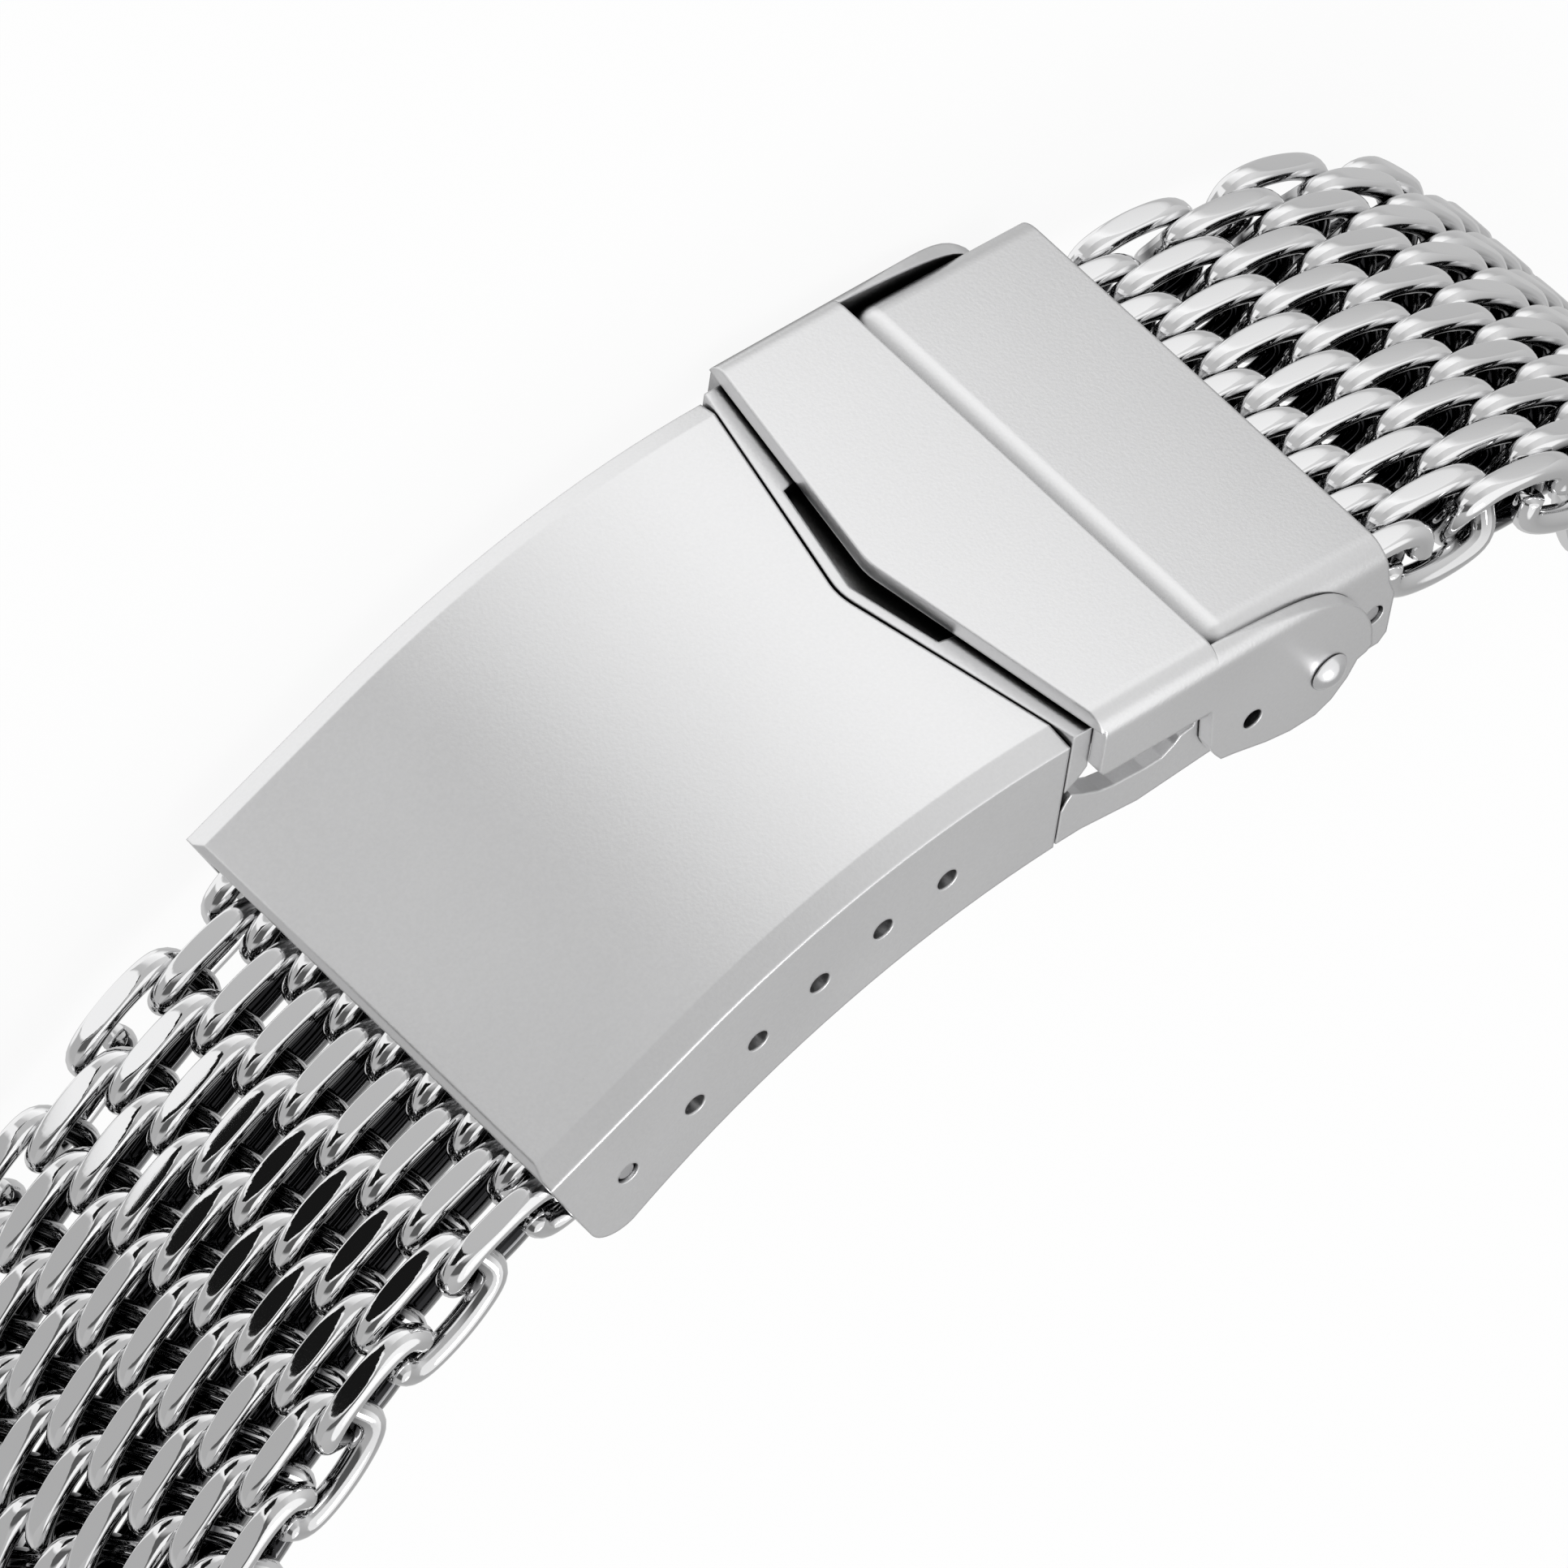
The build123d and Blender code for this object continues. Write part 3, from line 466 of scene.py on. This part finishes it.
def row_surface(settings, winding):
    """Closed round wire along the path, with ground faces.

    Round the path each point stands off by the wire's radius times cos b outwards from the coil and sin b
    sideways. Its height is then held below the ground face, which is crowned and cambered: the face falls by a
    share of the square of the distance along the row, and by a share of the square of sin b. Its edge is a
    smooth corner. The last array is the painted shade of each point: it rises to 1 on the coil's inner side
    and in the middle of its depth, and falls to 0 at the strap's two edges.
    """
    path = wire_path(settings, winding)
    along = np.gradient(path, axis=0)
    along /= np.linalg.norm(along, axis=1, keepdims=True)
    side = np.array([0.0, 1.0, 0.0]) - along[:, 1:2] * along
    side /= np.linalg.norm(side, axis=1, keepdims=True)
    out = np.cross(side, along)
    half_turn = np.radians(SECTION_DEGREES)
    turn = np.concatenate([half_turn, [np.pi], -half_turn[:0:-1]])
    ring = out[:, None, :] * np.cos(turn)[None, :, None] + side[:, None, :] * np.sin(turn)[None, :, None]
    points = path[:, None, :] + ROW_WIRE / 2 * ring
    face = ROW_FACE - settings.crown * (points[..., 0] / (ROW_LENGTH / 2)) ** 2
    face = face - settings.camber * np.sin(turn)[None, :] ** 2
    points[..., 2] = np.sign(points[..., 2]) * smaller(np.abs(points[..., 2]), face, settings.face_corner)
    rows, sides = points.shape[:2]
    first = np.arange(rows - 1)[:, None] * sides
    column = np.arange(sides)[None, :]
    following = (column + 1) % sides
    faces = np.stack([first + column, first + following, first + sides + following, first + sides + column], -1)
    caps = [list(range(sides))[::-1], list(range((rows - 1) * sides, rows * sides))]
    # Painted shade: dark on the coil's inner side and deep in the row, fading out at the strap's edges
    inner = np.clip((PAINTED_SHADE_START - np.cos(turn)) / PAINTED_SHADE_SPAN, 0, 1)[None, :]
    sunk = np.clip(PAINTED_SHADE_STRENGTH - np.abs(path[:, 2:]) / PAINTED_SHADE_DEPTH, 0, 1)
    open_edge = np.clip((np.abs(path[:, 1:2]) - PAINTED_SHADE_EDGE) / ROW_WIRE, 0, 1)
    grime = np.maximum(inner, sunk) * (1 - open_edge)
    return points.reshape(-1, 3), faces.reshape(-1, 4).tolist() + caps, grime.reshape(-1)


def new_piece(name, points, faces, material):
    """Mesh object at the origin with smooth faces."""
    mesh = bpy.data.meshes.new(name)
    mesh.from_pydata(points.tolist(), [], faces)
    mesh.polygons.foreach_set("use_smooth", np.ones(len(mesh.polygons), dtype=bool))
    mesh.materials.append(material)
    mesh.validate()
    piece = bpy.data.objects.new(name, mesh)
    bpy.context.scene.collection.objects.link(piece)
    return piece


class FinishSettings(bpy.types.PropertyGroup):
    """Colours and grains of the bracelet's metals."""

    satin_colour: bpy.props.FloatVectorProperty(
        name="Satin steel", description="Colour of the clasp", subtype="COLOR", default=(0.93, 0.93, 0.935))
    wire_colour: bpy.props.FloatVectorProperty(
        name="Mesh wire", description="Colour of the polished wire", subtype="COLOR", default=(0.9, 0.9, 0.905))
    blade_colour: bpy.props.FloatVectorProperty(
        name="Blades", description="Colour of the folding blades", subtype="COLOR", default=(0.74, 0.74, 0.75))
    pin_colour: bpy.props.FloatVectorProperty(
        name="Pins", description="Colour of pins and tubes", subtype="COLOR", default=(0.8, 0.8, 0.81))
    bar_colour: bpy.props.FloatVectorProperty(
        name="Spring bars", description="Colour of the spring bars", subtype="COLOR",
        default=(0.68, 0.68, 0.69))
    spring_colour: bpy.props.FloatVectorProperty(
        name="Springs", description="Colour of the spring wire", subtype="COLOR", default=(0.55, 0.54, 0.51))
    satin_range: bpy.props.FloatVectorProperty(
        name="Satin range", description="Darkest and lightest shares of the satin colour in its grain", size=2,
        default=(0.9, 1.03))
    grain_share: bpy.props.FloatProperty(
        name="Grain share", description="Share of the grain in the satin tone, beside its clouds", default=0.7,
        min=0, max=1)
    satin_roughness: bpy.props.FloatProperty(
        name="Satin roughness", description="How far the clasp blurs reflections", default=0.3, min=0, max=1)
    wire_roughness: bpy.props.FloatProperty(
        name="Wire roughness", description="How far the mesh blurs reflections", default=0.045, min=0, max=1)
    grain_scale: bpy.props.FloatProperty(
        name="Grain scale", description="Grains of the satin finish for each metre", default=7000)
    cloud_scale: bpy.props.FloatProperty(
        name="Cloud scale", description="Soft patches of the satin finish for each metre", default=160)
    haze_scale: bpy.props.FloatProperty(
        name="Haze scale", description="Patches of polishing haze for each metre", default=900)
    brush_scale: bpy.props.FloatProperty(
        name="Brush scale", description="Brush strokes for each metre", default=700)
    # Colour of the painted shade deep between the wires
    wire_shade_colour: bpy.props.FloatVectorProperty(
        name="Crevices", description="Colour of the grime deep between the wires", subtype="COLOR",
        default=(0.03, 0.03, 0.032))
    # Colour of the painted shade in the clasp's narrow gaps
    gap_shade_colour: bpy.props.FloatVectorProperty(
        name="Recesses", description="Colour in the clasp's narrow gaps", subtype="COLOR",
        default=(0.1, 0.1, 0.103))
    hood_crown: bpy.props.FloatProperty(
        name="Hood crown", description="Fall of the clasp's tops along the hood, in metres for each square metre",
        default=4.0)
    crevice_reach: bpy.props.FloatProperty(
        name="Crevice reach", description="How far off a neighbour darkens the clasp", subtype="DISTANCE",
        unit="LENGTH", default=2.2 * MM, precision=6)
    grain_depth: bpy.props.FloatProperty(
        name="Grain depth", description="Depth of the satin grain", subtype="DISTANCE", unit="LENGTH",
        default=0.006 * MM, precision=6)
    hair_depth: bpy.props.FloatProperty(
        name="Hairline depth", description="Depth of polishing hairlines", subtype="DISTANCE", unit="LENGTH",
        default=0.0006 * MM, precision=6)
    edge_radius: bpy.props.FloatProperty(
        name="Edge radius", description="Rounding of the clasp's edges", subtype="DISTANCE", unit="LENGTH",
        default=0.16 * MM, precision=6)
    pin_edge: bpy.props.FloatProperty(
        name="Pin edge radius", description="Rounding of the pins', tubes' and bars' edges", subtype="DISTANCE",
        unit="LENGTH", default=0.07 * MM, precision=6)


class MeshSettings(bpy.types.PropertyGroup):
    """Shape of the wire in each row of mesh."""

    ground: bpy.props.FloatProperty(
        name="Ground depth", description="How far the wire's outer side is ground away", subtype="DISTANCE",
        unit="LENGTH", default=0.2 * MM, precision=6)
    crown: bpy.props.FloatProperty(
        name="Crown", description="Fall of the ground face towards the row's ends", subtype="DISTANCE",
        unit="LENGTH", default=0.06 * MM, precision=6)
    camber: bpy.props.FloatProperty(
        name="Camber", description="Fall of the ground face towards its two sides", subtype="DISTANCE",
        unit="LENGTH", default=0.02 * MM, precision=6)
    lean: bpy.props.FloatProperty(
        name="Lean", description="How far the inner runs lie beside the outer ones", subtype="DISTANCE",
        unit="LENGTH", default=0.8 * MM, precision=6)
    face_corner: bpy.props.FloatProperty(
        name="Face corner", description="Width of the round corner of the ground face", subtype="DISTANCE",
        unit="LENGTH", default=0.05 * MM, precision=6)
    rings: bpy.props.IntProperty(name="Rings", description="Rings of points in one turn", default=64, min=16)


class SpringSettings(bpy.types.PropertyGroup):
    """Sizes of the springs inside the spring bars."""

    wire: bpy.props.FloatProperty(
        name="Wire", description="Diameter of the spring wire", subtype="DISTANCE", unit="LENGTH",
        default=0.13 * MM, precision=6)
    turns: bpy.props.IntProperty(name="Turns", description="Turns of each spring", default=22, min=2)
    tip_travel: bpy.props.FloatProperty(
        name="Tip travel", description="How far each tip presses in", subtype="DISTANCE", unit="LENGTH",
        default=0.95 * MM, precision=6)


class StudioSettings(bpy.types.PropertyGroup):
    """Camera, floor, card and lights."""

    distance: bpy.props.FloatProperty(
        name="Distance", description="From the camera to the clasp", subtype="DISTANCE", unit="LENGTH",
        default=685.3 * MM)
    turn: bpy.props.FloatProperty(
        name="Turn", description="Camera's swing to the side", subtype="ANGLE", default=math.radians(2.914))
    height: bpy.props.FloatProperty(
        name="Height", description="Camera's angle above the floor", subtype="ANGLE",
        default=math.radians(26.906))
    roll: bpy.props.FloatProperty(
        name="Roll", description="Camera's turn about its own line of sight", subtype="ANGLE",
        default=math.radians(226.74))
    focal_pixels: bpy.props.FloatProperty(
        name="Focal length", description="Focal length in pixels of the photograph", default=21846.7)
    photo_pixels: bpy.props.IntProperty(
        name="Photograph", description="Width of the photograph in pixels", default=1932)
    floor_size: bpy.props.FloatProperty(
        name="Floor", description="Side of the floor", subtype="DISTANCE", unit="LENGTH", default=3.0)
    floor_glow: bpy.props.FloatProperty(
        name="Floor glow", description="Share of plain white in the floor that the camera sees", default=0.93,
        min=0, max=1)
    card_height: bpy.props.FloatProperty(
        name="Card height", description="Height of the dark card above the floor", subtype="DISTANCE",
        unit="LENGTH", default=0.5 * MM, precision=6)
    tent_strength: bpy.props.FloatProperty(
        name="Tent", description="Strength of the light tent", default=1.0, min=0)
    lamp_watts: bpy.props.FloatProperty(
        name="Lamp", description="Power of the overhead lamp", default=1.2, unit="POWER")


class BRACELET_OT_dress_clasp(bpy.types.Operator):
    """Satin finish on the cover, the lock housing and the flip lock"""

    bl_idname = "bracelet.dress_clasp"
    bl_label = "Dress the clasp"

    def execute(self, context):
        dress(CLASP_NODES, satin_steel(context.scene.bracelet_finish))
        return {"FINISHED"}


class BRACELET_OT_dress_blades(bpy.types.Operator):
    """Brushed finish on the folding blades"""

    bl_idname = "bracelet.dress_blades"
    bl_label = "Dress the blades"

    def execute(self, context):
        settings = context.scene.bracelet_finish
        dress(BLADE_NODES, lined_steel(settings, "blade_steel", settings.blade_colour, settings.edge_radius))
        return {"FINISHED"}


class BRACELET_OT_wind_mesh(bpy.types.Operator):
    """Wound and ground wire for every row of mesh"""

    bl_idname = "bracelet.wind_mesh"
    bl_label = "Wind the mesh"

    def execute(self, context):
        material = polished_wire(context.scene.bracelet_finish)
        surfaces = {winding: row_surface(context.scene.bracelet_mesh, winding) for winding in (1, -1)}
        for name in sorted(node for node in frame["nodes"] if "_side_row_" in node):
            middle, axes, winding = row_frame(name)
            points, faces, grime = surfaces[winding]
            piece = new_piece(name + "_wire", points @ axes + middle, faces, material)
            # Painted shade of each point, kept as an attribute that darkens the wire's colour
            piece.data.attributes.new("grime", "FLOAT", "POINT").data.foreach_set("value", grime)
            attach(piece, frame["nodes"][name]["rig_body"])
            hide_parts(name)
        return {"FINISHED"}


class BRACELET_OT_dress_bars(bpy.types.Operator):
    """Finishes of the pins, end tubes and spring bars"""

    bl_idname = "bracelet.dress_bars"
    bl_label = "Dress the pins and bars"

    def execute(self, context):
        settings = context.scene.bracelet_finish
        tubes = [name + "_end_tube" for name in BAR_NAMES]
        dress(PIN_NODES + tuple(tubes), lined_steel(settings, "pin_polish", settings.pin_colour,
                                                    settings.pin_edge))
        bars = [name + part for name in BAR_NAMES for part in ("_bar_sleeve", "_bar_tip_far", "_bar_tip_near")]
        dress(bars, lined_steel(settings, "bar_steel", settings.bar_colour, settings.pin_edge))
        return {"FINISHED"}


class BRACELET_OT_wind_springs(bpy.types.Operator):
    """Wound springs in place of the plain spring solids inside the spring bars"""

    bl_idname = "bracelet.wind_springs"
    bl_label = "Wind the springs"

    def execute(self, context):
        settings = context.scene.bracelet_springs
        material = spring_wire(context.scene.bracelet_finish)
        for name in BAR_NAMES:
            node = name + "_bar_spring"
            low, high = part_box(node)
            middle = ((low[0] + high[0]) / 2, (low[1] + high[1]) / 2)
            radius = (high[0] - low[0] - settings.wire) / 2
            points, faces = helix_surface(middle, low[2], high[2], radius, settings.wire / 2, settings.turns,
                                          SPRING_STEPS, SPRING_SIDES)
            piece = new_piece(name + "_wound_spring", points, faces, material)
            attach(piece, BAR_BODIES[name])
            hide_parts(node)
            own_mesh(piece)
        return {"FINISHED"}


def camera_axes(settings):
    """Right, down and forward directions of the camera from its swing, height and roll."""
    turn, height, roll = settings.turn, settings.height, settings.roll
    forward = Vector((-math.sin(turn) * math.cos(height), math.cos(turn) * math.cos(height), -math.sin(height)))
    level = forward.cross(Vector((0, 0, 1))).normalized()
    plumb = forward.cross(level)
    right = level * math.cos(roll) + plumb * math.sin(roll)
    return right, forward.cross(right), forward


def aim_point(right, down):
    """Point that the camera looks at, a little off a mark on the cover."""
    low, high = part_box("cover_shell")
    mark = Vector((high[0] - AIM_MARK[0], low[1] + AIM_MARK[1], (low[2] + high[2]) / 2))
    return mark + right * AIM_OFFSET[0] + down * AIM_OFFSET[1]


def add_camera(settings):
    """Camera at the photograph's place."""
    right, down, forward = camera_axes(settings)
    place = aim_point(right, down) - forward * settings.distance
    data = bpy.data.cameras.new("photo_camera")
    data.sensor_fit = "HORIZONTAL"
    data.lens = data.sensor_width * settings.focal_pixels / settings.photo_pixels
    data.clip_start, data.clip_end = CLIP_DISTANCES
    camera = bpy.data.objects.new("photo_camera", data)
    axes = Matrix((right, -down, -forward)).transposed().to_4x4()
    camera.matrix_world = Matrix.Translation(place) @ axes
    bpy.context.scene.collection.objects.link(camera)
    bpy.context.scene.camera = camera


def floor_paint(settings):
    """White floor for the camera, which keeps a share of the object's shadow."""
    finish = new_finish("floor_paint")
    lit = finish.node("ShaderNodeBsdfDiffuse", {}, {"Color": (FLOOR_GREY, FLOOR_GREY, FLOOR_GREY, 1)})
    white = finish.node("ShaderNodeEmission", {}, {"Color": (1, 1, 1, 1), "Strength": 1.0})
    seen = finish.node("ShaderNodeLightPath", output="Is Camera Ray")
    surface = finish.node("ShaderNodeMixShader", {}, {0: seen * settings.floor_glow, 1: lit, 2: white})
    finish.node("ShaderNodeOutputMaterial", {}, {"Surface": surface})
    return finish.owner


def card_paint():
    """Matt black paint of the card."""
    finish = new_finish("card_paint")
    black = finish.node("ShaderNodeBsdfDiffuse", {}, {"Color": (CARD_GREY, CARD_GREY, CARD_GREY, 1)})
    finish.node("ShaderNodeOutputMaterial", {}, {"Surface": black})
    return finish.owner


def level_sheet(name, corners, height, material):
    """Level sheet of the stage with its corners in metres, at a height above the floor."""
    points = np.array([(x, y, height) for x, y in corners])
    return new_piece(name, points, [list(range(len(corners)))], material)


def light_tent(settings):
    """World of a light tent: four rings of panels at rising heights, white for the camera.

    Round the object the grey of the low and the high ring changes with the compass angle, from 0 to 360
    degrees. A direction's height picks the ring: nadir, low, high or zenith.
    """
    finish = Finish(bpy.data.worlds.new("light_tent"))
    direction = finish.node("ShaderNodeTexCoord", output="Generated")
    split = finish.node("ShaderNodeSeparateXYZ", {}, {0: direction})
    parts = [Signal(finish, split.socket.node.outputs[axis]) for axis in "XYZ"]
    turn = parts[1].combine("ARCTAN2", parts[1], parts[0]) * (1 / (2 * math.pi)) + 1.0
    turn = turn.combine("FRACT", turn)
    height = parts[2].combine("ARCSINE", parts[2]) * (180 / math.pi)
    low = finish.node("ShaderNodeValToRGB", {"stops": LOW_RING}, {0: turn})
    high = finish.node("ShaderNodeValToRGB", {"stops": HIGH_RING}, {0: turn})
    tone = blended(NADIR_GREY, low, rise(finish, height, *LOW_EDGE))
    tone = blended(tone, high, rise(finish, height, *MIDDLE_EDGE))
    tone = blended(tone, ZENITH_GREY, rise(finish, height, *HIGH_EDGE))
    seen = finish.node("ShaderNodeLightPath", output="Is Camera Ray")
    tone = blended(tone, 1.0, seen)
    background = finish.node("ShaderNodeBackground", {}, {"Color": tone, "Strength": settings.tent_strength})
    finish.node("ShaderNodeOutputWorld", {}, {"Surface": background})
    return finish.owner


class BRACELET_OT_build_stage(bpy.types.Operator):
    """Floor, dark card, lamp, world and camera"""

    bl_idname = "bracelet.build_stage"
    bl_label = "Build the stage"

    def execute(self, context):
        settings = context.scene.bracelet_studio
        half = settings.floor_size / 2
        floor = level_sheet("floor", ((-half, -half), (half, -half), (half, half), (-half, half)), 0,
                            floor_paint(settings))
        floor.visible_glossy = False
        card = level_sheet("dark_card", np.array(DARK_CARD) * MM, settings.card_height, card_paint())
        card.visible_camera = card.visible_diffuse = card.visible_shadow = False
        context.scene.world = light_tent(settings)
        lamp = bpy.data.lights.new("overhead_lamp", "AREA")
        lamp.size = LAMP_SIZE
        lamp.energy = settings.lamp_watts
        holder = bpy.data.objects.new("overhead_lamp", lamp)
        holder.location = LAMP_PLACE
        holder.rotation_euler = LAMP_TILT
        context.scene.collection.objects.link(holder)
        add_camera(settings)
        context.scene.view_settings.view_transform = "Standard"
        return {"FINISHED"}


class BRACELET_PT_panel(bpy.types.Panel):
    """Sizes, colours and steps of the bracelet"""

    bl_idname = "BRACELET_PT_panel"
    bl_label = "Bracelet"
    bl_space_type = "VIEW_3D"
    bl_region_type = "UI"
    bl_category = "Bracelet"

    def draw(self, context):
        layout = self.layout
        scene = context.scene
        for group in (scene.bracelet_finish, scene.bracelet_mesh, scene.bracelet_springs, scene.bracelet_studio):
            box = layout.box()
            for key in group.bl_rna.properties.keys():
                if key not in {"rna_type", "name"}:
                    box.prop(group, key)
        for operator in OPERATORS:
            layout.operator(operator.bl_idname)


GROUPS = (FinishSettings, MeshSettings, SpringSettings, StudioSettings)
OPERATORS = (BRACELET_OT_dress_clasp, BRACELET_OT_dress_blades, BRACELET_OT_wind_mesh, BRACELET_OT_dress_bars,
             BRACELET_OT_wind_springs, BRACELET_OT_build_stage)


def register():
    """Register every class and the scene's settings."""
    for cls in GROUPS + OPERATORS + (BRACELET_PT_panel,):
        bpy.utils.register_class(cls)
    bpy.types.Scene.bracelet_finish = bpy.props.PointerProperty(type=FinishSettings)
    bpy.types.Scene.bracelet_mesh = bpy.props.PointerProperty(type=MeshSettings)
    bpy.types.Scene.bracelet_springs = bpy.props.PointerProperty(type=SpringSettings)
    bpy.types.Scene.bracelet_studio = bpy.props.PointerProperty(type=StudioSettings)


def unregister():
    """Undo register."""
    del bpy.types.Scene.bracelet_studio
    del bpy.types.Scene.bracelet_springs
    del bpy.types.Scene.bracelet_mesh
    del bpy.types.Scene.bracelet_finish
    for cls in reversed(GROUPS + OPERATORS + (BRACELET_PT_panel,)):
        bpy.utils.unregister_class(cls)


def main():
    """Run every step in order."""
    register()
    bpy.ops.bracelet.dress_clasp()
    bpy.ops.bracelet.dress_blades()
    bpy.ops.bracelet.wind_mesh()
    bpy.ops.bracelet.dress_bars()
    bpy.ops.bracelet.wind_springs()
    bpy.ops.bracelet.build_stage()


if __name__ == "__main__":
    main()
